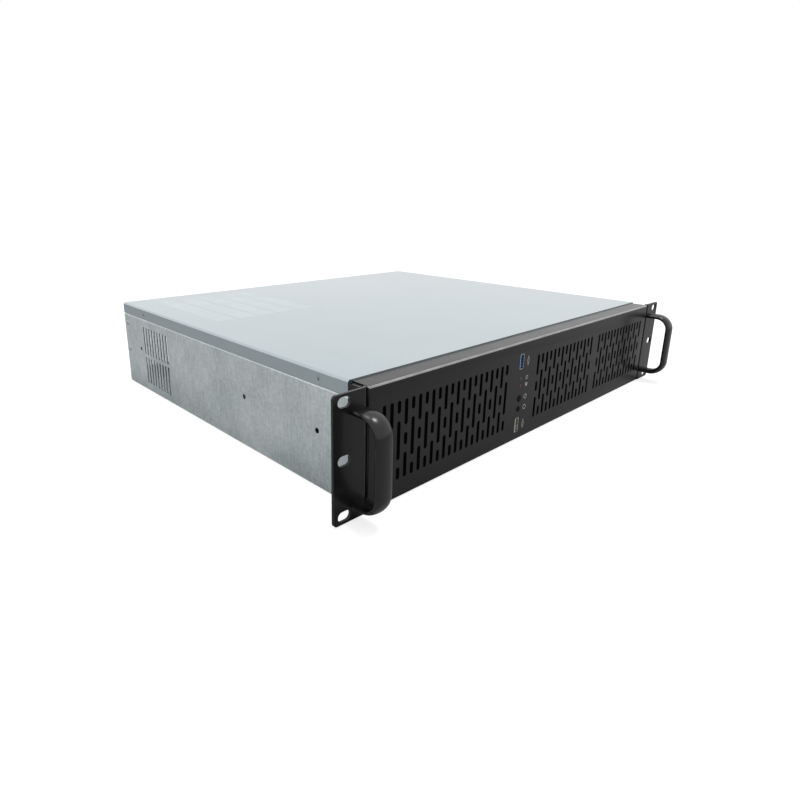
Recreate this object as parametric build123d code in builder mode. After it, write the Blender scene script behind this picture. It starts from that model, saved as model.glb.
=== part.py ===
from build123d import *
import os

os.makedirs("parts", exist_ok=True)

# An empty 2U server case. Millimetres, +Z up, +Y to the rear, X centred.
# The origin is the middle of the footprint, on the surface that the case stands on.

# Shell
rack_width = 482.6
ear_reach = 26.3
case_height = 88.0
case_depth = 380.0
sheet = 1.0
bend_radius = 2.0
running_gap = 0.3
seam_gap = 0.5
hole_play = 0.05

# Lid
lid_flange = 10.8
lid_lip = 5.0
joggle_radius = 1.2
joggle_height = 1.0
lid_vent_bars = 5
lid_vent_bar_width = 18.0
lid_vent_bar_pitch = 22.9
lid_vent_length = 124.0
lid_vent_slot = 2.2
lid_vent_pitch = 6.5
lid_vent_rear_margin = 27.0

# Fascia
fascia_side_gap = 2.0
fascia_sheet = 1.2
cap_depth = 16.5
cap_overlap = 3.0
cap_drop = 1.0
corner_relief = 2.5
tongue_start = 4.0
tongue_ramp = 3.0
tongue_inset = 8.0

# Slots of the fascia
slot_width = 3.0
slot_pitch = 6.97
slot_short = 9.0
slot_long = 18.5
slot_tall = 28.0
slot_bridge = 5.5
slot_end_cut = 0.293
grille_drop = 1.1
field_left_margin = 14.5
field_right_margin = 13.0
field_gap = 16.12
control_left_margin = 21.0
control_right_margin = 26.0

# Rack ears
ear_sheet = 2.0
ear_trim = 0.5
ear_bend_radius = 3.0
ear_corner_radius = 3.0
ear_leg_depth = 16.0
ear_leg_trim = 1.5
ear_slot_length = 10.5
ear_slot_width = 7.0
ear_slot_edge = 8.75
ear_slot_pitch = 38.1

# Handles
handle_width = 14.2
handle_thickness = 5.0
handle_reach = 25.8
handle_pitch = 63.0
handle_drop = 1.0
handle_bend = 13.0
handle_offset = 8.6
handle_thread_depth = 14.0

# Sides
side_vent_columns = 9
side_vent_pitch = 6.4
side_vent_slot = 2.8
side_vent_length = 28.6
side_vent_row_pitch = 31.7
side_vent_drop = 5.35
side_vent_y = 305.5
rail_hole_radius = 2.1
rail_hole_drop = 0.3
rail_holes_y = (48.4, 141.6, 342.0)

# Rear panel
rear_flange = 12.0
rear_floor_flange = 8.0
io_width = 158.75
io_height = 44.45
board_thickness = 1.57
board_right_gap = 7.0
board_rear_gap = 1.2
standoff_height = 6.35
standoff_across_flats = 5.0
board_holes_x = (16.51, 140.97, 237.49)
board_holes_y = (10.16, 165.1, 237.49)
io_drop = 3.81
io_inset = 11.4
expansion_slots = 4
expansion_pitch = 20.32
expansion_window = 12.06
expansion_window_height = 56.0
expansion_window_z = 9.0
expansion_first_gap = 14.2
cover_width = 18.4
cover_sheet = 0.8
cover_top_z = 76.0
cover_screw_drop = 3.6
psu_width = 150.0
psu_height = 86.0
psu_depth = 140.0
psu_hole_edge = 6.0
psu_upper_holes_z = 80.0
psu_side_hole_z = 16.0
psu_lower_hole_x = 120.0
psu_opening_margin = 12.0
psu_opening_radius = 3.0
psu_screw_radius = 2.0
rear_vent_slots = 14
rear_vent_pitch = 11.0
rear_vent_slot = 3.2
rear_vent_length = 20.0
rear_vent_lift = 15.5

# Fan bracket
fan_bracket_y = 46.0
fan_bracket_margin = 45.0
fan_flange = 12.0
fan_opening = 76.0
fan_hole_pitch = 71.5
fan_hole_radius = 2.2
fan_count = 2
fan_spacing = 114.0
fan_wall_gap = 63.0

# Drive cage
drive_width = 101.6
drive_side_gap = 0.4
cage_sheet = 1.2
cage_length = 150.0
cage_height = 62.0
cage_wall_gap = 24.0
cage_front_y = 50.0
cage_foot = 10.0
drive_slot_rows_z = (12.4, 41.4)
drive_slots_y = (28.5, 130.1)
drive_slot_length = 8.0
drive_slot_width = 3.6

# Power supply stop
stop_height = 14.0
stop_foot = 12.0
stop_width = 120.0

# Filter mats
filter_thickness = 4.0
filter_border = 5.0

# Controls
control_x = -37.5
usb3_lift = 25.8
usb2_lift = -30.2
usb_width = 13.1
usb_thickness = 5.7
usb_wall = 0.4
usb_gap = 0.3
usb_recess = 0.2
usb_tongue_width = 11.6
usb_tongue_thickness = 1.9
usb_tongue_setback = 1.2
usb_base = 5.0
usb_corner = 0.8
usb_tongue_offset = 0.5
power_light_lift = 10.9
drive_light_lift = 4.6
light_radius = 1.5
light_proud = 0.4
power_button_lift = -6.4
reset_button_lift = -15.8
power_button_radius = 2.7
reset_button_radius = 2.3
button_proud = 0.5
button_easing = 0.3
button_travel = 1.0
button_collar = 0.9
button_collar_sheet = 0.8
button_stem_radius = 1.6
io_board_y = 18.0
io_board_width = 22.0
io_board_height = 80.0
io_board_offset = 2.5
io_board_sheet = 1.6
spacer_radius = 2.5
spacer_offset = 8.5
spacer_pitch = 68.0
switch_size = 6.0
switch_depth = 3.6
plunger_radius = 1.7
plunger_proud = 2.0
plunger_gap = 0.08
led_size = 2.0
led_depth = 0.8

# Fasteners
m3_radius = 1.5
m3_across_flats = 5.5
m3_head_height = 2.0
head_easing = 0.45
side_screw_length = 4.0
rear_screw_length = 3.0
cover_screw_length = 3.0
io_screw_length = 6.0
handle_screw_grip = 8.0
rivet_radius = 1.6
rivet_head_radius = 2.7
rivet_head_height = 0.7
lid_screw_drop = 6.4
lid_side_screws_y = (46.0, 328.0)
lid_screw_psu_gap = 13.4
lid_screw_wall_gap = 75.0
fascia_screw_spacing = 280.0
fascia_screw_y = 10.0
side_rivet_lifts = (-6.0, 22.5)
side_rivet_y = 372.0

# Worked out from the sizes above
rear_reach = m3_head_height
front_y = handle_reach - (handle_reach + case_depth + rear_reach) / 2
rear_y = front_y + case_depth
case_width = rack_width - 2 * ear_reach
ear_slot_span = rack_width - 2 * ear_slot_edge
ear_height = case_height - 2 * ear_trim
lid_front_y = front_y + cap_depth
panel_y = rear_y - sheet
panel_inner_y = panel_y - sheet
wall_x = case_width / 2
wall_inner_x = wall_x - sheet
lid_under_z = case_height - sheet
lid_inner_x = wall_x - sheet
band_x = lid_inner_x - running_gap
joggle_top_z = case_height - lid_flange
joggle_z = joggle_top_z - joggle_height
fascia_width = case_width - 2 * fascia_side_gap
fascia_x = fascia_width / 2
fascia_inner_x = fascia_x - fascia_sheet
fascia_inner_y = front_y + fascia_sheet
fascia_top_z = case_height - cap_drop
middle_z = case_height / 2
grille_middle_z = middle_z - grille_drop
rail_hole_z = middle_z - rail_hole_drop
side_vent_rows_z = [middle_z - side_vent_drop + s * side_vent_row_pitch / 2 for s in (-1, 1)]
side_rivets_z = [middle_z + lift for lift in side_rivet_lifts]
lid_screw_z = case_height - lid_screw_drop
usb3_z = middle_z + usb3_lift
usb2_z = middle_z + usb2_lift
power_light_z = middle_z + power_light_lift
drive_light_z = middle_z + drive_light_lift
power_button_z = middle_z + power_button_lift
reset_button_z = middle_z + reset_button_lift
ramp_foot_y = lid_front_y + seam_gap + tongue_ramp
handle_x = fascia_x + handle_offset
floor_z = sheet
lid_head_depth = sheet + running_gap
io_board_face_y = front_y + io_board_y
cage_width = drive_width + 2 * drive_side_gap
board_right_x = wall_inner_x - board_right_gap + sheet
board_rear_y = panel_inner_y - board_rear_gap
io_left_x = board_right_x - io_inset - io_width
io_bottom_z = floor_z + standoff_height + board_thickness - io_drop
psu_left_x = -band_x + lid_lip + running_gap
psu_middle_x = psu_left_x + psu_width / 2
lid_rear_screws_x = (psu_left_x + psu_width + lid_screw_psu_gap, wall_x - lid_screw_wall_gap)
fascia_screws_x = (-fascia_screw_spacing / 2, fascia_screw_spacing / 2)
cage_left_x = -wall_inner_x + cage_wall_gap
fans_x = [wall_inner_x - fan_wall_gap - i * fan_spacing for i in range(fan_count)]
fan_bracket_left_x = fans_x[-1] - fan_bracket_margin
io_board_x = control_x + io_board_offset
spacer_x = control_x + spacer_offset

# The fields of slots take as many columns as fit between the fascia's ends and the controls
left_field_x = -fascia_x + field_left_margin
left_field_columns = int((control_x - control_left_margin - left_field_x) // slot_pitch) + 1
middle_field_x = control_x + control_right_margin
right_span = fascia_x - field_right_margin - middle_field_x - field_gap
middle_field_columns = int(right_span / 2 // slot_pitch) + 1
right_field_columns = middle_field_columns
right_field_x = middle_field_x + (middle_field_columns - 1) * slot_pitch + field_gap


def facing_front(y):
    return Plane.XZ.offset(-y)


def facing_right(x):
    return Plane.YZ.offset(x)


def save(part, name):
    part.label = name
    export_step(part, f"parts/{name}.step")


# Where the fascia's slots stand: columns of long, short, long take turns with short, tall, short
def grille_slots():
    long_offset = (slot_short + slot_long) / 2 + slot_bridge
    short_offset = (slot_tall + slot_short) / 2 + slot_bridge
    fields = (
        (left_field_x, left_field_columns, True),
        (middle_field_x, middle_field_columns, False),
        (right_field_x, right_field_columns, False),
    )
    places = {slot_short: [], slot_long: [], slot_tall: []}
    for first_x, columns, starts_tall in fields:
        for column in range(columns):
            x = first_x + column * slot_pitch
            if (column % 2 == 0) == starts_tall:
                places[slot_tall].append((x, grille_middle_z))
                places[slot_short] += [(x, grille_middle_z + s * short_offset) for s in (-1, 1)]
            else:
                places[slot_short].append((x, grille_middle_z))
                places[slot_long] += [(x, grille_middle_z + s * long_offset) for s in (-1, 1)]
    return places


# An upright slot, or the section of a flat bar. Each half-round end is three flats, which keeps it light
def punched_slot(length, width):
    with BuildSketch(mode=Mode.PRIVATE) as slot:
        Rectangle(width, length)
        chamfer(slot.vertices(), width * slot_end_cut)
    return slot.sketch


# A countersunk screw along local Z: its flat head is at zero and its shank goes down
def flat_screw(head_depth, length):
    with BuildPart(mode=Mode.PRIVATE) as screw:
        with BuildSketch(Plane.XZ):
            with BuildLine():
                Polyline(
                    (0, 0),
                    (m3_radius + head_depth, 0),
                    (m3_radius, -head_depth),
                    (m3_radius, -length),
                    (0, -length),
                    close=True,
                )
            make_face()
        revolve(axis=Axis.Z)
    return screw.part


# A hex head screw along local Z: its head stands on zero and its shank goes down
def hex_screw(length):
    with BuildPart(mode=Mode.PRIVATE) as screw:
        with BuildSketch():
            RegularPolygon(m3_across_flats / 2, 6, major_radius=False)
        extrude(amount=m3_head_height)
        Cylinder(m3_radius, length, align=(Align.CENTER, Align.CENTER, Align.MAX))
    return screw.part


# A pan head screw or a rivet, placed the same way, with the head's edge eased
def pan_screw(radius, head_radius, head_height, length):
    with BuildPart(mode=Mode.PRIVATE) as screw:
        Cylinder(head_radius, head_height, align=(Align.CENTER, Align.CENTER, Align.MIN))
        chamfer(screw.edges().sort_by(Axis.Z)[-1], head_height * head_easing)
        Cylinder(radius, length, align=(Align.CENTER, Align.CENTER, Align.MAX))
    return screw.part


# Floor and sides, one folded sheet, joggled in under the lid's flange
with BuildPart() as chassis_tray:
    with BuildSketch(facing_front(lid_front_y)):
        with BuildLine():
            FilletPolyline(
                (-band_x + lid_lip, lid_under_z),
                (-band_x, lid_under_z),
                (-band_x, joggle_top_z),
                (-wall_x, joggle_z),
                (-wall_x, 0),
                (wall_x, 0),
                (wall_x, joggle_z),
                (band_x, joggle_top_z),
                (band_x, lid_under_z),
                (band_x - lid_lip, lid_under_z),
                radius=[bend_radius, joggle_radius, joggle_radius, bend_radius] * 2,
            )
            offset(amount=sheet, side=Side.LEFT)
        make_face()
    extrude(amount=-(panel_y - lid_front_y))
    # The band starts behind the cap's overlap
    with Locations((0, lid_front_y, case_height)):
        Box(
            2 * lid_inner_x,
            2 * (cap_overlap + running_gap),
            2 * lid_flange,
            mode=Mode.SUBTRACT,
        )
    # The floor's front edge steps up over the fascia's lower flange
    with Locations((0, lid_front_y, 0)):
        Box(
            2 * (wall_x - tongue_inset),
            2 * (ramp_foot_y - lid_front_y),
            2 * sheet,
            mode=Mode.SUBTRACT,
        )
    with BuildSketch(facing_right(-wall_x + tongue_inset)):
        with BuildLine():
            FilletPolyline(
                (ramp_foot_y + tongue_ramp, 0),
                (ramp_foot_y, 0),
                (ramp_foot_y - tongue_ramp, fascia_sheet),
                (front_y + tongue_start, fascia_sheet),
                radius=[joggle_radius, joggle_radius],
            )
            offset(amount=sheet, side=Side.RIGHT)
        make_face()
    extrude(amount=2 * (wall_x - tongue_inset))
    # The lips end ahead of the bend of the lid's rear flange
    with Locations((0, panel_y, lid_under_z)):
        Box(case_width, 2 * bend_radius, 2 * sheet, mode=Mode.SUBTRACT)
    # Side vents and rail holes, through both walls
    with BuildSketch(facing_right(0)):
        for row_z in side_vent_rows_z:
            with Locations((front_y + side_vent_y, row_z)):
                with GridLocations(side_vent_pitch, 0, side_vent_columns, 1):
                    add(punched_slot(side_vent_length, side_vent_slot))
        with Locations(*[(front_y + y, rail_hole_z) for y in rail_holes_y]):
            Circle(rail_hole_radius)
        with Locations(*[(front_y + side_rivet_y, z) for z in side_rivets_z]):
            Circle(rivet_radius + hole_play)
    extrude(amount=wall_x, both=True, mode=Mode.SUBTRACT)
    # Threads for the lid's side screws
    with BuildSketch(facing_right(0)):
        with Locations(*[(front_y + y, lid_screw_z) for y in lid_side_screws_y]):
            Circle(m3_radius + hole_play)
    extrude(amount=wall_x, both=True, mode=Mode.SUBTRACT)

# Standoffs stand on a grid that boards of this size share
standoff_columns_x = [board_right_x - d for d in board_holes_x]
standoff_rows_y = [board_rear_y - d for d in board_holes_y]
standoff_places = [(x, y) for x in standoff_columns_x for y in standoff_rows_y]
cage_middle_x = cage_left_x + cage_width / 2
cage_middle_y = front_y + cage_front_y + cage_length / 2
cage_screw_places = [
    (
        cage_middle_x + s * (cage_width + cage_sheet + cage_foot) / 2,
        cage_middle_y + t * cage_length / 3,
    )
    for s in (-1, 1)
    for t in (-1, 1)
]
stop_y = panel_inner_y - psu_depth
fan_foot_y = front_y + fan_bracket_y
fascia_screw_places = [(x, front_y + fascia_screw_y) for x in fascia_screws_x]
with chassis_tray:
    with BuildSketch(Plane.XY):
        with Locations(*cage_screw_places, *fascia_screw_places):
            Circle(m3_radius + hole_play)
    extrude(amount=middle_z, mode=Mode.SUBTRACT)
save(chassis_tray.part, "chassis_tray")

# Rear panel: top and bottom flanges from one fold, side flanges from another
top_flange_x = band_x - lid_lip - running_gap
side_flange_top_z = joggle_z - joggle_radius
side_flange_bottom_z = floor_z + bend_radius
expansion_places_x = [io_left_x - expansion_first_gap - i * expansion_pitch for i in range(expansion_slots)]
window_middle_z = expansion_window_z + expansion_window_height / 2
cover_screw_z = cover_top_z - cover_screw_drop
psu_holes = [
    (psu_left_x + psu_hole_edge, floor_z + psu_upper_holes_z),
    (psu_left_x + psu_width - psu_hole_edge, floor_z + psu_upper_holes_z),
    (psu_left_x + psu_hole_edge, floor_z + psu_side_hole_z),
    (psu_left_x + psu_lower_hole_x, floor_z + psu_hole_edge),
]
with BuildPart() as rear_panel:
    with BuildSketch(facing_right(-top_flange_x)):
        with BuildLine():
            FilletPolyline(
                (panel_y - rear_flange, lid_under_z),
                (panel_y, lid_under_z),
                (panel_y, floor_z),
                (panel_y - rear_floor_flange, floor_z),
                radius=[bend_radius, bend_radius],
            )
            offset(amount=sheet, side=Side.RIGHT)
        make_face()
    extrude(amount=2 * top_flange_x)
    with BuildSketch(Plane.XY.offset(side_flange_bottom_z)):
        with BuildLine():
            FilletPolyline(
                (wall_inner_x, panel_y - rear_flange),
                (wall_inner_x, panel_y),
                (-wall_inner_x, panel_y),
                (-wall_inner_x, panel_y - rear_flange),
                radius=[bend_radius, bend_radius],
            )
            offset(amount=sheet, side=Side.LEFT)
        make_face()
    extrude(amount=side_flange_top_z - side_flange_bottom_z)
    with BuildSketch(facing_front(panel_y)):
        with Locations((io_left_x + io_width / 2, io_bottom_z + io_height / 2)):
            Rectangle(io_width, io_height)
        with Locations((psu_middle_x, floor_z + psu_height / 2)):
            RectangleRounded(
                psu_width - 2 * psu_opening_margin,
                psu_height - 2 * psu_opening_margin,
                psu_opening_radius,
            )
        with Locations(*psu_holes):
            Circle(psu_screw_radius)
        with Locations(*[(x, window_middle_z) for x in expansion_places_x]):
            Rectangle(expansion_window, expansion_window_height)
        with Locations(*[(x, cover_screw_z) for x in expansion_places_x]):
            Circle(m3_radius + hole_play)
        with Locations(*[(x, lid_screw_z) for x in lid_rear_screws_x]):
            Circle(m3_radius + hole_play)
        with Locations((io_left_x + io_width / 2, io_bottom_z + io_height + rear_vent_lift)):
            with GridLocations(rear_vent_pitch, 0, rear_vent_slots, 1):
                add(punched_slot(rear_vent_length, rear_vent_slot))
    extrude(amount=sheet, mode=Mode.SUBTRACT)
    with BuildSketch(facing_right(0)):
        with Locations(*[(front_y + side_rivet_y, z) for z in side_rivets_z]):
            Circle(rivet_radius + hole_play)
    extrude(amount=wall_x, both=True, mode=Mode.SUBTRACT)
    # The top flange stops short of the power supply, which is as tall as the case inside
    with Locations((psu_middle_x, panel_inner_y, lid_under_z)):
        Box(
            psu_width + 2 * running_gap,
            rear_flange,
            sheet,
            align=(Align.CENTER, Align.MAX, Align.MAX),
            mode=Mode.SUBTRACT,
        )
save(rear_panel.part, "rear_panel")

# Lid: one folded sheet with side and rear flanges and the vent over the power supply
lid_vent_middle_y = panel_y - lid_vent_rear_margin - lid_vent_length / 2
lid_vent_rows = int(lid_vent_length // lid_vent_pitch) + 1
with BuildPart() as top_cover:
    with BuildSketch(facing_front(lid_front_y)):
        with BuildLine():
            FilletPolyline(
                (-wall_x, joggle_top_z),
                (-wall_x, case_height),
                (wall_x, case_height),
                (wall_x, joggle_top_z),
                radius=[bend_radius, bend_radius],
            )
            offset(amount=sheet, side=Side.RIGHT)
        make_face()
    extrude(amount=-(rear_y - lid_front_y))
    # The rear flange folds down between the side flanges
    with Locations((0, rear_y, 0)):
        Box(case_width, 2 * (sheet + running_gap), 2 * lid_under_z, mode=Mode.SUBTRACT)
    with BuildSketch(facing_right(-lid_inner_x + bend_radius)):
        with BuildLine():
            FilletPolyline(
                (rear_y - 2 * bend_radius, case_height),
                (rear_y, case_height),
                (rear_y, joggle_top_z),
                radius=[bend_radius],
            )
            offset(amount=sheet, side=Side.RIGHT)
        make_face()
    rear_fold = extrude(amount=2 * (lid_inner_x - bend_radius), mode=Mode.PRIVATE)
    with Locations((0, rear_y, case_height)):
        Box(case_width, 2 * bend_radius, 2 * sheet, mode=Mode.SUBTRACT)
    add(rear_fold)
    with BuildSketch(Plane.XY.offset(lid_under_z)):
        with Locations((psu_middle_x, lid_vent_middle_y)):
            with GridLocations(lid_vent_bar_pitch, lid_vent_pitch, lid_vent_bars, lid_vent_rows):
                Rectangle(lid_vent_bar_width, lid_vent_slot)
    extrude(amount=sheet, mode=Mode.SUBTRACT)
    for side in (-1, 1):
        with Locations(*[(side * wall_x, front_y + y, lid_screw_z) for y in lid_side_screws_y]):
            Cone(
                m3_radius + hole_play,
                m3_radius + lid_head_depth + hole_play,
                lid_head_depth,
                rotation=(0, side * 90, 0),
                align=(Align.CENTER, Align.CENTER, Align.MAX),
                mode=Mode.SUBTRACT,
            )
    with BuildSketch(facing_front(rear_y)):
        with Locations(*[(x, lid_screw_z) for x in lid_rear_screws_x]):
            Circle(m3_radius + 2 * hole_play)
    extrude(amount=sheet, mode=Mode.SUBTRACT)
save(top_cover.part, "top_cover")

# Fascia: shallow folded tray, open to the rear, with a cap that runs under the lid
with BuildPart() as fascia_hollow:
    with BuildSketch(facing_front(fascia_inner_y)):
        with Locations((0, fascia_top_z / 2)):
            Rectangle(2 * fascia_inner_x, fascia_top_z - 2 * fascia_sheet)
    extrude(amount=-cap_depth)
    fillet(fascia_hollow.faces().sort_by(Axis.Y)[0].edges(), bend_radius - fascia_sheet)
with BuildPart() as front_fascia:
    with BuildSketch(facing_front(front_y)):
        with Locations((0, fascia_top_z / 2)):
            Rectangle(fascia_width, fascia_top_z)
    extrude(amount=-cap_depth)
    fillet(front_fascia.faces().sort_by(Axis.Y)[0].edges(), bend_radius)
    add(fascia_hollow.part, mode=Mode.SUBTRACT)
    # The cap's overlap under the lid
    with Locations((0, lid_front_y + cap_overlap / 2, fascia_top_z - fascia_sheet / 2)):
        Box(2 * (fascia_x - tongue_inset), cap_overlap, fascia_sheet)
    # Corner reliefs between the folded flanges
    with Locations(*[(s * fascia_x, lid_front_y, z) for s in (-1, 1) for z in (0, fascia_top_z)]):
        Box(
            2 * (fascia_sheet + running_gap),
            2 * (cap_depth - corner_relief),
            2 * (fascia_sheet + running_gap),
            mode=Mode.SUBTRACT,
        )
    with BuildSketch(facing_front(front_y)):
        for length, places in grille_slots().items():
            with Locations(*places):
                add(punched_slot(length, slot_width))
        with Locations((control_x, usb3_z), (control_x, usb2_z)):
            Rectangle(usb_thickness + 2 * usb_gap, usb_width + 2 * usb_gap)
        with Locations((control_x, power_light_z), (control_x, drive_light_z)):
            Circle(light_radius + hole_play)
        with Locations((control_x, power_button_z)):
            Circle(power_button_radius + running_gap)
        with Locations((control_x, reset_button_z)):
            Circle(reset_button_radius + running_gap)
    extrude(amount=-fascia_sheet, mode=Mode.SUBTRACT)
    with Locations(*[(x, y, 0) for x, y in fascia_screw_places]):
        Cone(
            m3_radius + fascia_sheet + hole_play,
            m3_radius + hole_play,
            fascia_sheet,
            align=(Align.CENTER, Align.CENTER, Align.MIN),
            mode=Mode.SUBTRACT,
        )
save(front_fascia.part, "front_fascia")

# Rack ears: an L of thicker sheet whose leg is welded to the fascia's side
ear_bottom_z = middle_z - ear_height / 2
handle_places_z = [middle_z - handle_drop + s * handle_pitch / 2 for s in (-1, 1)]
for side, name in ((-1, "left_ear"), (1, "right_ear")):
    with BuildPart() as ear:
        with BuildSketch(Plane.XY.offset(ear_bottom_z)):
            with BuildLine():
                FilletPolyline(
                    (rack_width / 2, front_y),
                    (fascia_x, front_y),
                    (fascia_x, front_y + ear_leg_depth),
                    radius=[ear_bend_radius],
                )
                offset(amount=ear_sheet, side=Side.RIGHT)
            make_face()
        extrude(amount=ear_height)
        with Locations(*[(fascia_x, front_y + ear_leg_depth, z) for z in (ear_bottom_z, ear_bottom_z + ear_height)]):
            Box(
                2 * ear_sheet + running_gap,
                2 * (ear_leg_depth - ear_bend_radius),
                2 * ear_leg_trim,
                mode=Mode.SUBTRACT,
            )
        fillet(ear.edges().filter_by(Axis.Y).group_by(Axis.X)[-1], ear_corner_radius)
        fillet(ear.edges().filter_by(Axis.X).group_by(Axis.Y)[-1], ear_corner_radius)
        with BuildSketch(facing_front(front_y)):
            with Locations((ear_slot_span / 2, middle_z)):
                with GridLocations(0, ear_slot_pitch, 1, 3):
                    SlotOverall(ear_slot_length, ear_slot_width)
            with Locations(*[(handle_x, z) for z in handle_places_z]):
                Circle(m3_radius + hole_play)
        extrude(amount=-ear_sheet, mode=Mode.SUBTRACT)
        if side < 0:
            mirror(about=Plane.YZ, mode=Mode.REPLACE)
    save(ear.part, name)

# Handles: flat bar with its edges taken off, bent into a bow and drilled at both feet
bar_y = front_y - handle_reach + handle_thickness / 2
for side, name in ((-1, "left_handle"), (1, "right_handle")):
    foot = Plane(
        origin=(side * handle_x, front_y, handle_places_z[0]),
        x_dir=(1, 0, 0),
        z_dir=(0, -1, 0),
    )
    with BuildPart() as handle:
        with BuildLine(facing_right(side * handle_x)):
            FilletPolyline(
                (front_y, handle_places_z[0]),
                (bar_y, handle_places_z[0]),
                (bar_y, handle_places_z[1]),
                (front_y, handle_places_z[1]),
                radius=[handle_bend, handle_bend],
            )
        with BuildSketch(foot):
            add(punched_slot(handle_width, handle_thickness), rotation=90)
        sweep()
        with BuildSketch(facing_front(front_y)):
            with Locations(*[(side * handle_x, z) for z in handle_places_z]):
                Circle(m3_radius + hole_play)
        extrude(amount=handle_thread_depth, mode=Mode.SUBTRACT)
    save(handle.part, name)

# Fan bracket: upright plate with a foot, a top lip and a flange against the right wall
with BuildPart() as fan_bracket:
    with BuildSketch(facing_right(fan_bracket_left_x)):
        with BuildLine():
            FilletPolyline(
                (fan_foot_y - fan_flange, floor_z),
                (fan_foot_y, floor_z),
                (fan_foot_y, lid_under_z),
                (fan_foot_y - fan_flange, lid_under_z),
                radius=[bend_radius, bend_radius],
            )
            offset(amount=sheet, side=Side.LEFT)
        make_face()
    extrude(amount=wall_inner_x - fan_bracket_left_x)
    # Cut clear of the tray's joggled band, its lip and the floor bend
    with Locations((wall_x, fan_foot_y, case_height)):
        Box(
            2 * (wall_x - top_flange_x),
            4 * fan_flange,
            2 * (case_height - side_flange_top_z),
            mode=Mode.SUBTRACT,
        )
    with Locations((wall_x, fan_foot_y, floor_z)):
        Box(2 * (sheet + bend_radius), 4 * fan_flange, 2 * bend_radius, mode=Mode.SUBTRACT)
    with BuildSketch(facing_front(fan_foot_y)):
        for fan_x in fans_x:
            with Locations((fan_x, middle_z)):
                Circle(fan_opening / 2)
                with GridLocations(fan_hole_pitch, fan_hole_pitch, 2, 2):
                    Circle(fan_hole_radius)
    extrude(amount=sheet, mode=Mode.SUBTRACT)
save(fan_bracket.part, "fan_bracket")

# Drive cage: a channel on two feet for two drives, one above the other
with BuildPart() as drive_cage:
    with BuildSketch(facing_front(front_y + cage_front_y)):
        with BuildLine():
            FilletPolyline(
                (cage_left_x - cage_foot, floor_z),
                (cage_left_x, floor_z),
                (cage_left_x, floor_z + cage_height),
                (cage_left_x + cage_width, floor_z + cage_height),
                (cage_left_x + cage_width, floor_z),
                (cage_left_x + cage_width + cage_foot, floor_z),
                radius=[bend_radius] * 4,
            )
            offset(amount=cage_sheet, side=Side.LEFT)
        make_face()
    extrude(amount=-cage_length)
    with BuildSketch(facing_right(cage_middle_x)):
        places = [(front_y + cage_front_y + y, floor_z + z) for y in drive_slots_y for z in drive_slot_rows_z]
        with Locations(*places):
            SlotOverall(drive_slot_length, drive_slot_width)
    extrude(amount=cage_width, both=True, mode=Mode.SUBTRACT)
    with BuildSketch(Plane.XY.offset(floor_z)):
        with Locations(*cage_screw_places):
            Circle(m3_radius + hole_play)
    extrude(amount=cage_sheet, mode=Mode.SUBTRACT)
save(drive_cage.part, "drive_cage")

# Stop for the power supply's front end: an angle welded to the floor
with BuildPart() as psu_bracket:
    with BuildSketch(facing_right(psu_middle_x - stop_width / 2)):
        with BuildLine():
            FilletPolyline(
                (stop_y - stop_foot, floor_z),
                (stop_y, floor_z),
                (stop_y, floor_z + stop_height),
                radius=[bend_radius],
            )
            offset(amount=sheet, side=Side.LEFT)
        make_face()
    extrude(amount=stop_width)
save(psu_bracket.part, "psu_bracket")

# Hex standoffs pressed into the floor, each with a blind thread for the board's screws
with BuildPart() as board_standoffs:
    with BuildSketch(Plane.XY.offset(floor_z)):
        with Locations(*standoff_places):
            RegularPolygon(standoff_across_flats / 2, 6, major_radius=False)
            Circle(m3_radius, mode=Mode.SUBTRACT)
    extrude(amount=standoff_height)
save(board_standoffs.part, "board_standoffs")

# Blanks over the expansion windows, held by a screw from outside
with BuildPart() as slot_covers:
    with BuildSketch(facing_front(panel_inner_y)):
        with Locations(*[(x, floor_z + bend_radius) for x in expansion_places_x]):
            Rectangle(cover_width, cover_top_z - floor_z - bend_radius, align=(Align.CENTER, Align.MIN))
        with Locations(*[(x, cover_screw_z) for x in expansion_places_x]):
            Circle(m3_radius + hole_play, mode=Mode.SUBTRACT)
    extrude(amount=cover_sheet)
save(slot_covers.part, "slot_covers")

# Foam mats behind the three fields of slots
field_spans = (
    (left_field_x, left_field_columns),
    (middle_field_x, middle_field_columns),
    (right_field_x, right_field_columns),
)
mat_height = 2 * (slot_long + slot_bridge) + slot_short + 2 * filter_border
with BuildPart() as filter_mats:
    with BuildSketch(facing_front(fascia_inner_y)):
        for first_x, columns in field_spans:
            with Locations((first_x + (columns - 1) * slot_pitch / 2, grille_middle_z)):
                Rectangle((columns - 1) * slot_pitch + slot_width + 2 * filter_border, mat_height)
    extrude(amount=-filter_thickness)
save(filter_mats.part, "filter_mats")

# Board behind the controls, on two spacers
spacer_places = [(spacer_x, middle_z + s * spacer_pitch / 2) for s in (-1, 1)]
with BuildPart() as io_board:
    with BuildSketch(facing_front(io_board_face_y)):
        with Locations((io_board_x, middle_z)):
            Rectangle(io_board_width, io_board_height)
        with Locations(*spacer_places):
            Circle(m3_radius + hole_play, mode=Mode.SUBTRACT)
    extrude(amount=-io_board_sheet)
save(io_board.part, "io_board")

with BuildPart() as io_spacers:
    with BuildSketch(facing_front(fascia_inner_y)):
        with Locations(*spacer_places):
            Circle(spacer_radius)
            Circle(m3_radius + hole_play, mode=Mode.SUBTRACT)
    extrude(amount=-(io_board_face_y - fascia_inner_y))
save(io_spacers.part, "io_spacers")

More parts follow.
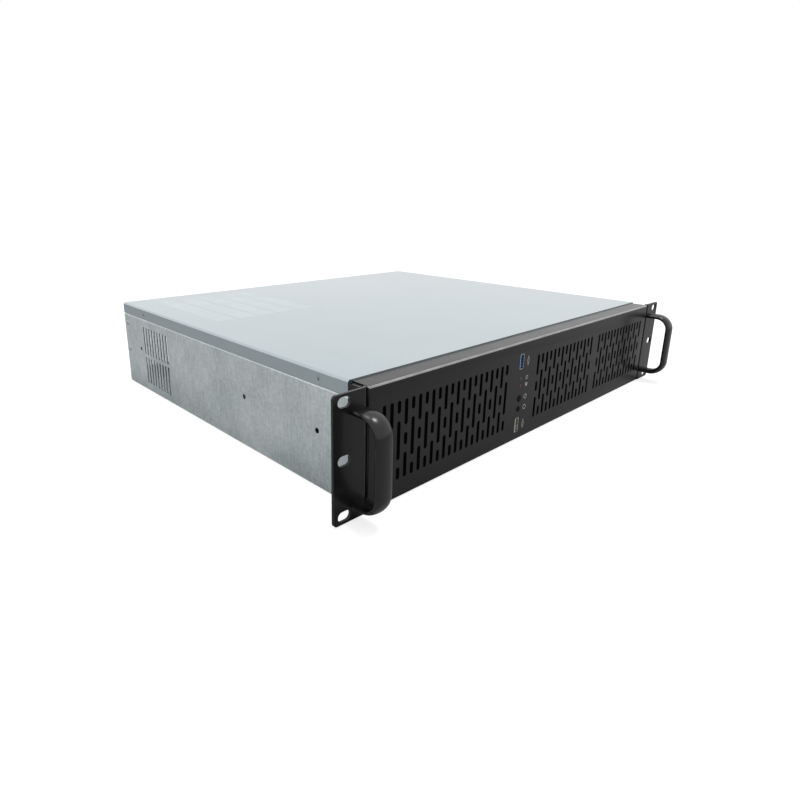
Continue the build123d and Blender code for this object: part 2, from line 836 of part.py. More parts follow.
# Upright type A ports: a folded shell with a base block, and the tongue in its mouth
for name, port_z in (("usb3", usb3_z), ("usb2", usb2_z)):
    mouth_y = front_y + usb_recess
    with BuildPart() as shell:
        with BuildSketch(facing_front(mouth_y)):
            with Locations((control_x, port_z)):
                RectangleRounded(usb_thickness, usb_width, usb_corner)
                RectangleRounded(
                    usb_thickness - 2 * usb_wall,
                    usb_width - 2 * usb_wall,
                    usb_corner - usb_wall,
                    mode=Mode.SUBTRACT,
                )
        extrude(amount=-(io_board_face_y - mouth_y))
    save(shell.part, f"{name}_shell")
    with BuildPart() as tongue:
        with BuildSketch(facing_front(io_board_face_y)):
            with Locations((control_x, port_z)):
                Rectangle(usb_thickness - 2 * usb_wall, usb_width - 2 * usb_wall)
        extrude(amount=usb_base)
        fillet(tongue.edges().filter_by(Axis.Y), usb_corner - usb_wall)
        with BuildSketch(facing_front(io_board_face_y - usb_base)):
            with Locations((control_x - usb_tongue_offset, port_z)):
                Rectangle(usb_tongue_thickness, usb_tongue_width)
        extrude(amount=io_board_face_y - usb_base - mouth_y - usb_tongue_setback)
    save(tongue.part, f"{name}_tongue")

# Light pipes from the board's diodes to the fascia, domed at the front
led_face_y = io_board_face_y - led_depth
for name, light_z in (("power_light_pipe", power_light_z), ("drive_light_pipe", drive_light_z)):
    with BuildPart() as light_pipe:
        with BuildSketch(facing_front(led_face_y)):
            with Locations((control_x, light_z)):
                Circle(light_radius)
        extrude(amount=led_face_y - front_y + light_proud)
        chamfer(light_pipe.edges().group_by(Axis.Y)[0], light_proud)
    save(light_pipe.part, name)

with BuildPart() as status_leds:
    with BuildSketch(facing_front(io_board_face_y)):
        with Locations((control_x, power_light_z), (control_x, drive_light_z)):
            Rectangle(led_size, led_size)
    extrude(amount=led_depth)
save(status_leds.part, "status_leds")

# Buttons: a domed cap, a collar that keeps it behind the fascia and a stem to its switch
switch_face_y = io_board_face_y - switch_depth
plunger_face_y = switch_face_y - plunger_proud
buttons = (
    ("power", power_button_z, power_button_radius),
    ("reset", reset_button_z, reset_button_radius),
)
for name, button_z, cap_radius in buttons:
    with BuildPart() as button:
        with BuildSketch(facing_front(fascia_inner_y)):
            with Locations((control_x, button_z)):
                Circle(cap_radius)
        extrude(amount=fascia_inner_y - front_y + button_proud)
        chamfer(button.edges().group_by(Axis.Y)[0], button_easing)
        with BuildSketch(facing_front(fascia_inner_y)):
            with Locations((control_x, button_z)):
                Circle(cap_radius + button_collar)
        extrude(amount=-button_collar_sheet)
        with BuildSketch(facing_front(fascia_inner_y)):
            with Locations((control_x, button_z)):
                Circle(button_stem_radius)
        extrude(amount=-(plunger_face_y - fascia_inner_y))
    save(button.part, f"{name}_button")
    with BuildPart() as plunger:
        with BuildSketch(facing_front(plunger_face_y)):
            with Locations((control_x, button_z)):
                Circle(plunger_radius)
        extrude(amount=-(plunger_proud + switch_depth / 2))
    save(plunger.part, f"{name}_plunger")

with BuildPart() as switch_bodies:
    with BuildSketch(facing_front(io_board_face_y)):
        with Locations(*[(control_x, z) for _, z, _ in buttons]):
            Rectangle(switch_size, switch_size)
    extrude(amount=switch_depth)
    with BuildSketch(facing_front(switch_face_y)):
        with Locations(*[(control_x, z) for _, z, _ in buttons]):
            Circle(plunger_radius + plunger_gap)
    extrude(amount=-(switch_depth / 2 + button_travel + running_gap), mode=Mode.SUBTRACT)
save(switch_bodies.part, "switch_bodies")

# Countersunk screws through the lid's side flanges, heads outward
lid_side_screw = flat_screw(lid_head_depth, side_screw_length)
with BuildPart() as lid_side_screws:
    for side in (-1, 1):
        for y in lid_side_screws_y:
            head = Plane(origin=(side * wall_x, front_y + y, lid_screw_z), z_dir=(side, 0, 0))
            add(head * lid_side_screw)
save(lid_side_screws.part, "lid_side_screws")

# Countersunk screws up through the fascia's lower flange into the floor's tongue
fascia_screw = flat_screw(fascia_sheet, fascia_sheet + sheet)
with BuildPart() as fascia_screws:
    for x, y in fascia_screw_places:
        add(Plane(origin=(x, y, 0), z_dir=(0, 0, -1)) * fascia_screw)
save(fascia_screws.part, "fascia_screws")

# The other fasteners: name, screw, way the heads face, places under the heads
rearward = (0, 1, 0)
upward = (0, 0, 1)
m3_pan_head = (m3_radius, m3_across_flats / 2, m3_head_height)
io_board_rear_y = io_board_face_y + io_board_sheet
fastener_sets = (
    (
        "lid_rear_screws",
        hex_screw(rear_screw_length),
        rearward,
        [(x, rear_y, lid_screw_z) for x in lid_rear_screws_x],
    ),
    (
        "slot_cover_screws",
        hex_screw(cover_screw_length),
        rearward,
        [(x, panel_y, cover_screw_z) for x in expansion_places_x],
    ),
    (
        "drive_cage_screws",
        hex_screw(cage_sheet + sheet),
        upward,
        [(x, y, floor_z + cage_sheet) for x, y in cage_screw_places],
    ),
    (
        "io_board_screws",
        pan_screw(*m3_pan_head, io_screw_length),
        rearward,
        [(x, io_board_rear_y, z) for x, z in spacer_places],
    ),
    (
        "handle_screws",
        pan_screw(*m3_pan_head, ear_sheet + handle_screw_grip),
        rearward,
        [(s * handle_x, front_y + ear_sheet, z) for s in (-1, 1) for z in handle_places_z],
    ),
)
for name, screw, facing, places in fastener_sets:
    with BuildPart() as screws:
        for place in places:
            add(Plane(origin=place, z_dir=facing) * screw)
    save(screws.part, name)

# Rivets at the rear of the sides, with shanks through the tray and the rear panel's flanges
rivet = pan_screw(rivet_radius, rivet_head_radius, rivet_head_height, 2 * sheet)
with BuildPart() as frame_rivets:
    for side in (-1, 1):
        for z in side_rivets_z:
            head = Plane(origin=(side * wall_x, front_y + side_rivet_y, z), z_dir=(side, 0, 0))
            add(head * rivet)
save(frame_rivets.part, "frame_rivets")
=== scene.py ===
import math
import bmesh
import bpy
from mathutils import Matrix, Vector


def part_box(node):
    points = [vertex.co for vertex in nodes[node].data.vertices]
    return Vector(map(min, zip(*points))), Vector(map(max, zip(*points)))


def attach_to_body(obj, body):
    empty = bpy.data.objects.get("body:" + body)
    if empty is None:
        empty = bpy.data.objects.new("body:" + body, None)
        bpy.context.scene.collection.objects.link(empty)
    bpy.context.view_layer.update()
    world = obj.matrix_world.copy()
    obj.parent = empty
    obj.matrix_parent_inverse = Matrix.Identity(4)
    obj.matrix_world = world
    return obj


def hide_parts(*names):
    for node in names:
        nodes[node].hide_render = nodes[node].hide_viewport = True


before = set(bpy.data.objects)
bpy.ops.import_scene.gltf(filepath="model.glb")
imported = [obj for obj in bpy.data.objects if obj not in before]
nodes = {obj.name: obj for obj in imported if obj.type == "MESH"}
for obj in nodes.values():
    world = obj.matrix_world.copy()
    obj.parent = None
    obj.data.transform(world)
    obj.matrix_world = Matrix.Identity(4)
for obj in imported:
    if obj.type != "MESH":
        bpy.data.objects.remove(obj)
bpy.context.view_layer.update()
mm = 0.001
case = "case"  # the body that all fixed pieces ride on
print("frame loaded:", len(nodes), "nodes")

# Camera, solved from the photograph. The picture is square, so one pixel size serves both ways
camera = {
    "position": (-0.4413, -0.4152, 0.1983),
    "turn": (73.516, -0.516, -43.130),
    "picturePixels": 800,
    "focalPixels": 568.4,
    "centrePixels": (362.6, 365.4),
    "sensor": 36.0,
}


def makeCamera(c):
    data = bpy.data.cameras.new("camera")
    data.sensor_width = c["sensor"]
    data.lens = c["focalPixels"] * c["sensor"] / c["picturePixels"]
    middle = c["picturePixels"] / 2
    data.shift_x = (middle - c["centrePixels"][0]) / c["picturePixels"]
    data.shift_y = (c["centrePixels"][1] - middle) / c["picturePixels"]
    data.clip_start = 0.01
    eye = bpy.data.objects.new("camera", data)
    eye.location = c["position"]
    eye.rotation_euler = [math.radians(a) for a in c["turn"]]
    bpy.context.scene.collection.objects.link(eye)
    bpy.context.scene.camera = eye


makeCamera(camera)


# Colour and node helpers
def toLinear(colour):
    parts = [int(colour[i:i + 2], 16) / 255 for i in (1, 3, 5)]
    return tuple(p / 12.92 if p <= 0.04045 else ((p + 0.055) / 1.055) ** 2.4 for p in parts) + (1.0,)


def addNode(tree, kind, settings=None, values=None, links=None):
    node = tree.nodes.new(kind)
    for name, value in (settings or {}).items():
        setattr(node, name, value)
    for socket, value in (values or {}).items():
        node.inputs[socket].default_value = value
    for socket, source in (links or {}).items():
        tree.links.new(source, node.inputs[socket])
    return node


# Pattern scale for one feature of that size
def perMetre(millimetres):
    return 1.0 / (millimetres * mm)


def newMaterial(name, **values):
    material = bpy.data.materials.new(name)
    material.use_nodes = True
    tree = material.node_tree
    shader = tree.nodes["Principled BSDF"]
    for socket, value in values.items():
        shader.inputs[socket.replace("_", " ")].default_value = value
    place = addNode(tree, "ShaderNodeTexCoord").outputs["Object"]
    return material, tree, shader, place


# Noise keeps near its middle, so these parts of its span are stretched over a whole ramp
noiseSpan = (0.3, 0.7)
wideSpan = (0.2, 0.8)
zincRelief = 0.05 * mm  # height of the crystals
filmRelief = 0.08 * mm  # height of an orange peel or a moulded texture


# Hot-dip galvanised steel sheet: zinc crystals show as a soft mottle of near greys
def galvanised(name, look):
    material, tree, shader, place = newMaterial(name, Metallic=1.0)
    crystals = addNode(
        tree, "ShaderNodeTexVoronoi",
        values={"Scale": perMetre(look["crystal"]), "Randomness": 1.0}, links={"Vector": place},
    )
    crystalTone = addNode(tree, "ShaderNodeRGBToBW", links={"Color": crystals.outputs["Color"]})
    cloud = addNode(
        tree, "ShaderNodeTexNoise",
        values={"Scale": perMetre(look["cloud"]), "Detail": 5.0, "Roughness": 0.6}, links={"Vector": place},
    )
    drawn = addNode(tree, "ShaderNodeMapping", values={"Scale": look["streak"]}, links={"Vector": place})
    grain = addNode(
        tree, "ShaderNodeTexNoise",
        values={"Scale": perMetre(look["grain"]), "Detail": 2.0}, links={"Vector": drawn.outputs[0]},
    )
    mix = addNode(
        tree, "ShaderNodeMath", {"operation": "MULTIPLY_ADD"}, {1: look["crystalShare"]},
        {0: crystalTone.outputs[0], 2: cloud.outputs["Fac"]},
    )
    tone = addNode(
        tree, "ShaderNodeMath", {"operation": "MULTIPLY_ADD"}, {1: look["grainShare"]},
        {0: grain.outputs["Fac"], 2: mix.outputs[0]},
    )
    middle = (1 + look["crystalShare"] + look["grainShare"]) / 2  # each noise has a half as its mean
    even = addNode(
        tree, "ShaderNodeMapRange",
        values={"From Min": middle - look["spread"], "From Max": middle + look["spread"]},
        links={"Value": tone.outputs[0]},
    )
    ramp = addNode(tree, "ShaderNodeValToRGB", links={"Fac": even.outputs["Result"]})
    ramp.color_ramp.elements[0].color = toLinear(look["dark"])
    ramp.color_ramp.elements[1].color = toLinear(look["light"])
    tree.links.new(ramp.outputs["Color"], shader.inputs["Base Color"])
    rough = addNode(
        tree, "ShaderNodeMapRange",
        values={
            "From Min": wideSpan[0], "From Max": wideSpan[1],
            "To Min": look["rough"][0], "To Max": look["rough"][1],
        },
        links={"Value": cloud.outputs["Fac"]},
    )
    tree.links.new(rough.outputs["Result"], shader.inputs["Roughness"])
    bump = addNode(
        tree, "ShaderNodeBump", values={"Strength": look["bump"], "Distance": zincRelief},
        links={"Height": tone.outputs[0]},
    )
    tree.links.new(bump.outputs["Normal"], shader.inputs["Normal"])
    return material


# Crystals, clouds and grain are in mm. Streak stretches the grain along an axis.
# Plain sheet with a 2 mm spangle, streaked upright where the zinc ran off, so the sides look frosted
traySteel = galvanised("galvanised_steel_tray", {
    "crystal": 2.0, "cloud": 45.0, "grain": 1.9, "crystalShare": 0.35, "grainShare": 0.65, "spread": 0.52,
    "dark": "#b0bcbe", "light": "#f2f8f9", "rough": (0.36, 0.44), "bump": 0.10, "streak": (1.0, 1.0, 0.15),
})
# Rolled once more after dipping: hardly any spangle, and a sheen that mirrors what is bright
lidSteel = galvanised("galvanised_steel_lid", {
    "crystal": 2.2, "cloud": 190.0, "grain": 1.3, "crystalShare": 0.12, "grainShare": 0.25, "spread": 0.5,
    "dark": "#b0bcc1", "light": "#c6d1d5", "rough": (0.19, 0.25), "bump": 0.05, "streak": (1.0, 1.0, 1.0),
})
# Paler than the lid: a painted sheen on the louvre hoods for the light that their faces catch
louvreSteelPaintedSheen = galvanised("galvanised_steel_pressed", {
    "crystal": 2.2, "cloud": 40.0, "grain": 1.3, "crystalShare": 0.12, "grainShare": 0.25, "spread": 0.5,
    "dark": "#c0cbcf", "light": "#d6dfe2", "rough": (0.20, 0.27), "bump": 0.05, "streak": (1.0, 1.0, 1.0),
})
# Sheet of the inner pieces, left as dipped: a coarser spangle and a duller sheen
innerSteel = galvanised("galvanised_steel_inside", {
    "crystal": 3.2, "cloud": 30.0, "grain": 1.3, "crystalShare": 0.30, "grainShare": 0.4, "spread": 0.45,
    "dark": "#9ba8a9", "light": "#d4dddd", "rough": (0.36, 0.50), "bump": 0.2, "streak": (1.0, 1.0, 0.5),
})
# Electroplated zinc on small steel: a bright, even film.
# Its crystals are too fine to show, so they are drawn at nearly a millimetre
zincPlate = galvanised("zinc_plated_fasteners", {
    "crystal": 0.9, "cloud": 4.0, "grain": 0.4, "crystalShare": 0.2, "grainShare": 0.3, "spread": 0.5,
    "dark": "#9fa9ab", "light": "#d0d9db", "rough": (0.22, 0.34), "bump": 0.15, "streak": (1.0, 1.0, 1.0),
})


# Paint and moulded plastic: one colour that varies a little, with a fine pebble in the surface.
# A moulded texture is about 0.1 mm across, too fine to show, so its pebble is drawn at 0.3 to 0.5 mm
def coated(name, look, **values):
    material, tree, shader, place = newMaterial(name, **values)
    cloud = addNode(
        tree, "ShaderNodeTexNoise",
        values={"Scale": perMetre(look["cloud"]), "Detail": 3.0}, links={"Vector": place},
    )
    ramp = addNode(tree, "ShaderNodeValToRGB", links={"Fac": cloud.outputs["Fac"]})
    ramp.color_ramp.elements[0].position = noiseSpan[0]
    ramp.color_ramp.elements[0].color = toLinear(look["dark"])
    ramp.color_ramp.elements[1].position = noiseSpan[1]
    ramp.color_ramp.elements[1].color = toLinear(look["light"])
    tree.links.new(ramp.outputs["Color"], shader.inputs["Base Color"])
    rough = addNode(
        tree, "ShaderNodeMapRange",
        values={
            "From Min": noiseSpan[0], "From Max": noiseSpan[1],
            "To Min": look["rough"][0], "To Max": look["rough"][1],
        },
        links={"Value": cloud.outputs["Fac"]},
    )
    tree.links.new(rough.outputs["Result"], shader.inputs["Roughness"])
    pebble = addNode(
        tree, "ShaderNodeTexNoise",
        values={"Scale": perMetre(look["pebble"]), "Detail": 2.0}, links={"Vector": place},
    )
    bump = addNode(
        tree, "ShaderNodeBump", values={"Strength": look["bump"], "Distance": filmRelief},
        links={"Height": pebble.outputs["Fac"]},
    )
    tree.links.new(bump.outputs["Normal"], shader.inputs["Normal"])
    return material


# Powder coat melts to a satin film with an orange peel of about a millimetre
powderCoat = coated(
    "black_powder_coat",
    {"dark": "#0c0c0c", "light": "#121211", "cloud": 30.0, "pebble": 0.9, "rough": (0.33, 0.39), "bump": 0.2},
    Specular_IOR_Level=0.25, Coat_Weight=0.3, Coat_Roughness=0.14,
)
# A pale, half-metallic coat on the fold: a painted highlight, the bright line along the cap's front bend
foldHighlightCoat = coated(
    "powder_coat_thin_on_fold",
    {"dark": "#8a8b8a", "light": "#a2a3a2", "cloud": 12.0, "pebble": 0.9, "rough": (0.24, 0.30), "bump": 0.1},
    Metallic=0.5, Coat_Weight=0.5, Coat_Roughness=0.12,
)
# Stoved enamel flows out smoother than powder, so lamps show on the bars as small highlights
handleCoat = coated(
    "black_enamel_on_bar",
    {
        "dark": "#0a0a0a", "light": "#0f0f0f", "cloud": 20.0, "pebble": 1.2, "rough": (0.27, 0.31),
        "bump": 0.08,
    },
    Specular_IOR_Level=0.3, Coat_Weight=0.45, Coat_Roughness=0.15,
)
# Moulded ABS with a matt texture, which looks darker than the paint round it
blackPlastic = coated(
    "black_moulded_plastic",
    {"dark": "#050505", "light": "#090909", "cloud": 6.0, "pebble": 0.4, "rough": (0.45, 0.55), "bump": 0.2},
    Specular_IOR_Level=0.1,
)
# Moulded nylon in its natural colour: warm, with a soft shine
creamPlastic = coated(
    "cream_moulded_plastic",
    {"dark": "#d9d2bb", "light": "#e9e4d2", "cloud": 5.0, "pebble": 0.4, "rough": (0.35, 0.45), "bump": 0.1},
)
# Moulded polyester, dyed through: an even blue with a satin shine
bluePlastic = coated(
    "blue_moulded_plastic",
    {"dark": "#2a76c4", "light": "#3d8dda", "cloud": 5.0, "pebble": 0.4, "rough": (0.30, 0.40), "bump": 0.1},
)
# Cured lacquer over copper: a deep green under a clear gloss
solderMask = coated(
    "green_solder_mask",
    {"dark": "#0f4a25", "light": "#17602f", "cloud": 8.0, "pebble": 0.5, "rough": (0.25, 0.35), "bump": 0.1},
    Coat_Weight=0.4,
)
# Open cell polyurethane: pores of nearly a millimetre swallow the light, so it reads as black
blackFoam = coated(
    "open_cell_foam",
    {"dark": "#040404", "light": "#0b0b0b", "cloud": 1.2, "pebble": 0.8, "rough": (0.95, 1.0), "bump": 1.0},
    Specular_IOR_Level=0.05,
)
# Moulded acrylic, tinted and unlit: nearly dark, with a smooth dome
greenLens = coated(
    "green_acrylic",
    {"dark": "#12381b", "light": "#1a4f26", "cloud": 2.0, "pebble": 0.3, "rough": (0.25, 0.35), "bump": 0.05},
    Coat_Weight=0.2,
)
redLens = coated(
    "red_acrylic",
    {"dark": "#420f0f", "light": "#5a1716", "cloud": 2.0, "pebble": 0.3, "rough": (0.25, 0.35), "bump": 0.05},
    Coat_Weight=0.2,
)
# Silk-screened ink: thin, matt and not quite white
whitePrint = coated(
    "silk_screened_ink",
    {"dark": "#c4c4c2", "light": "#dcdcda", "cloud": 1.0, "pebble": 0.3, "rough": (0.5, 0.6), "bump": 0.1},
)
# Zinc plate passivated black: some of the metal's shine comes through the black
blackZinc = coated(
    "black_zinc_fasteners",
    {"dark": "#19191a", "light": "#252526", "cloud": 2.0, "pebble": 0.4, "rough": (0.30, 0.38), "bump": 0.1},
    Metallic=0.4,
)


# Drawn, turned or plated metal: a bright film with faint tool lines.
# Real lines are hundredths of a millimetre apart, so they are drawn 0.4 to 0.5 mm apart, which shows
def plated(name, look):
    material, tree, shader, place = newMaterial(name, Metallic=1.0)
    stretch = addNode(
        tree, "ShaderNodeMapping", values={"Scale": look["stretch"]}, links={"Vector": place},
    )
    lines = addNode(
        tree, "ShaderNodeTexNoise", values={"Scale": perMetre(look["line"]), "Detail": 3.0},
        links={"Vector": stretch.outputs[0]},
    )
    ramp = addNode(tree, "ShaderNodeValToRGB", links={"Fac": lines.outputs["Fac"]})
    ramp.color_ramp.elements[0].position = noiseSpan[0]
    ramp.color_ramp.elements[0].color = toLinear(look["dark"])
    ramp.color_ramp.elements[1].position = noiseSpan[1]
    ramp.color_ramp.elements[1].color = toLinear(look["light"])
    tree.links.new(ramp.outputs["Color"], shader.inputs["Base Color"])
    rough = addNode(
        tree, "ShaderNodeMapRange", values={"To Min": look["rough"][0], "To Max": look["rough"][1]},
        links={"Value": lines.outputs["Fac"]},
    )
    tree.links.new(rough.outputs["Result"], shader.inputs["Roughness"])
    return material


# Nickel plate on drawn steel: a bright shell with lines along the draw
nickel = plated("nickel_plated_shell", {
    "dark": "#d3d4d3", "light": "#f0f0ee", "line": 0.5, "stretch": (1.0, 0.1, 1.0), "rough": (0.22, 0.34),
})
# Turned brass: a warm shine with rings round an upright axis
turnedBrass = plated("turned_brass", {
    "dark": "#a98743", "light": "#cda85c", "line": 0.4, "stretch": (0.2, 0.2, 1.0), "rough": (0.2, 0.35),
})
print("materials made")

# What each CAD node is made of
finishes = {
    traySteel: ["chassis_tray"],
    lidSteel: ["top_cover"],
    innerSteel: ["rear_panel", "fan_bracket", "drive_cage", "psu_bracket", "slot_covers"],
    powderCoat: ["front_fascia", "left_ear", "right_ear"],
    handleCoat: ["left_handle", "right_handle"],
    turnedBrass: ["board_standoffs"],
    blackFoam: ["filter_mats"],
    solderMask: ["io_board"],
    creamPlastic: ["usb2_tongue", "io_spacers", "status_leds", "power_plunger", "reset_plunger"],
    bluePlastic: ["usb3_tongue"],
    nickel: ["usb3_shell", "usb2_shell"],
    greenLens: ["power_light_pipe"],
    redLens: ["drive_light_pipe"],
    blackPlastic: ["power_button", "reset_button", "switch_bodies"],
    zincPlate: [
        "lid_side_screws", "lid_rear_screws", "slot_cover_screws", "drive_cage_screws", "io_board_screws",
        "frame_rivets",
    ],
    blackZinc: ["fascia_screws", "handle_screws"],
}
for material, names in finishes.items():
    for name in names:
        mesh = nodes[name].data
        mesh.materials.clear()
        mesh.materials.append(material)


# Piece helpers. Edges sharper than the angle stay crisp
def smoothByAngle(mesh, degrees=32.0):
    mesh.shade_smooth()
    mesh.set_sharp_from_angle(angle=math.radians(degrees))


def newObject(name, mesh):
    made = bpy.data.objects.new(name, mesh)
    bpy.context.scene.collection.objects.link(made)
    return made


def meshFromBmesh(name, built):
    mesh = bpy.data.meshes.new(name)
    built.to_mesh(mesh)
    built.free()
    return mesh


# A tree with named inputs. Each input is given as name: (socket type, value)
def newTree(name, inputs):
    tree = bpy.data.node_groups.new(name, "GeometryNodeTree")
    tree.interface.new_socket("Geometry", in_out="INPUT", socket_type="NodeSocketGeometry")
    for label, (kind, _) in inputs.items():
        tree.interface.new_socket(label, in_out="INPUT", socket_type=kind)
    tree.interface.new_socket("Geometry", in_out="OUTPUT", socket_type="NodeSocketGeometry")
    source = addNode(tree, "NodeGroupInput")
    return tree, source.outputs


def endTree(tree, geometry, material):
    whole = addNode(tree, "GeometryNodeRealizeInstances", links={"Geometry": geometry})
    painted = addNode(
        tree, "GeometryNodeSetMaterial", links={"Geometry": whole.outputs[0], "Material": material},
    )
    addNode(tree, "NodeGroupOutput", links={0: painted.outputs[0]})


# Runs the tree on a mesh and leaves one plain mesh in its place
def runTree(name, mesh, tree, inputs):
    holder = newObject(name, mesh)
    modifier = holder.modifiers.new("nodes", "NODES")
    modifier.node_group = tree
    sockets = {i.name: i.identifier for i in tree.interface.items_tree if i.in_out == "INPUT"}
    for label, (_, value) in inputs.items():
        modifier[sockets[label]] = value
    bpy.context.view_layer.update()
    evaluated = holder.evaluated_get(bpy.context.evaluated_depsgraph_get())
    result = bpy.data.meshes.new_from_object(evaluated)
    result.name = name
    holder.modifiers.remove(modifier)
    holder.data = result
    bpy.data.meshes.remove(mesh)
    return holder


# Points that a tree copies things to, with whole numbers or directions as attributes
def pointMesh(name, places, **attributes):
    mesh = bpy.data.meshes.new(name)
    mesh.from_pydata(places, [], [])
    for label, values in attributes.items():
        if isinstance(values[0], int):
            layer = mesh.attributes.new(label, "INT", "POINT")
            for item, value in zip(layer.data, values):
                item.value = value
        else:
            layer = mesh.attributes.new(label, "FLOAT_VECTOR", "POINT")
            for item, value in zip(layer.data, values):
                item.vector = value
    return mesh


def boxInto(built, middle, size):
    made = bmesh.ops.create_cube(built, size=1.0)["verts"]
    bmesh.ops.scale(built, vec=size, verts=made)
    bmesh.ops.translate(built, vec=middle, verts=made)


def discard(helper):
    data = helper.data
    bpy.data.objects.remove(helper)
    bpy.data.meshes.remove(data)


def attach(piece, body, slotName, *replaced):
    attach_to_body(piece, body)
    if replaced:
        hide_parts(*replaced)


# Fascia: folded sheet with a cap, punched with three fields of upright slots and the control openings
low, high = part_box("front_fascia")
fascia = {
    "half": high.x, "front": low.y, "top": high.z, "sheet": 1.2 * mm, "depth": 16.5 * mm,
    "bend": 2.0 * mm, "bendSteps": 5, "relief": 2.5 * mm, "trimSpare": 0.3 * mm,
    "overlap": 3.0 * mm, "overlapInset": 8.0 * mm, "overlapJoin": 0.1 * mm,
    "highlightTilt": 0.4,  # the painted highlight goes on faces that look upwards and forwards by more than this
    "slot": 3.3 * mm, "pitch": 6.97 * mm, "short": 9.0 * mm, "long": 18.5 * mm, "tall": 28.0 * mm,
    "bridge": 5.5 * mm, "middle": 42.9 * mm,
    # first column, number of columns, whether the first has the tall slot
    "fields": ((-198.5 * mm, 21, True), (-11.5 * mm, 15, False), (102.2 * mm, 15, False)),
    "control": -37.5 * mm,
    "ports": (69.8 * mm, 13.8 * mm), "port": (6.3 * mm, 13.7 * mm),
    "lights": (54.9 * mm, 48.6 * mm), "lightHole": 1.56 * mm,
    "buttons": ((37.6 * mm, 3.0 * mm), (28.2 * mm, 2.6 * mm)),  # height and radius of each hole
}


def fasciaSheet(f):
    built = bmesh.new()
    boxInto(built, (0, f["front"] + f["depth"] / 2, f["top"] / 2), (2 * f["half"], f["depth"], f["top"]))
    built.normal_update()
    back = [face for face in built.faces if face.normal.y > 0.5]
    bmesh.ops.delete(built, geom=back, context="FACES_ONLY")
    middle = f["front"] + f["depth"] / 2
    rim = [edge for edge in built.edges if all(vert.co.y < middle for vert in edge.verts)]
    bmesh.ops.bevel(
        built, geom=rim, offset=f["bend"], segments=f["bendSteps"], profile=0.5, affect="EDGES",
        clamp_overlap=True,
    )
    bmesh.ops.recalc_face_normals(built, faces=built.faces)
    bmesh.ops.solidify(built, geom=built.faces, thickness=f["sheet"])
    bmesh.ops.recalc_face_normals(built, faces=built.faces)
    return meshFromBmesh("fascia_sheet", built)


# Reliefs at the rear corners, where the folds would meet
def fasciaTrims(f):
    built = bmesh.new()
    wide = 2 * (f["sheet"] + f["trimSpare"])
    rear = f["front"] + f["depth"]
    for x in (-f["half"], f["half"]):
        for z in (0.0, f["top"]):
            boxInto(built, (x, rear, z), (wide, 2 * (f["depth"] - f["relief"]), wide))
    return meshFromBmesh("fascia_trims", built)


# Punches: 0 to 2 are the slots by length, 3 a port, 4 a light, 5 and 6 the buttons
def fasciaPoints(f):
    places, kinds = [], []
    longOffset = (f["short"] + f["long"]) / 2 + f["bridge"]
    shortOffset = (f["tall"] + f["short"]) / 2 + f["bridge"]
    for first, columns, startsTall in f["fields"]:
        for column in range(columns):
            x = first + column * f["pitch"]
            if (column % 2 == 0) == startsTall:
                rows = ((2, 0), (0, -shortOffset), (0, shortOffset))
            else:
                rows = ((0, 0), (1, -longOffset), (1, longOffset))
            for kind, lift in rows:
                places.append((x, f["front"], f["middle"] + lift))
                kinds.append(kind)
    controls = [(3, z) for z in f["ports"]] + [(4, z) for z in f["lights"]]
    controls += [(5 + number, z) for number, (z, _) in enumerate(f["buttons"])]
    for kind, z in controls:
        places.append((f["control"], f["front"], z))
        kinds.append(kind)
    return pointMesh("fascia_points", places, kind=kinds)


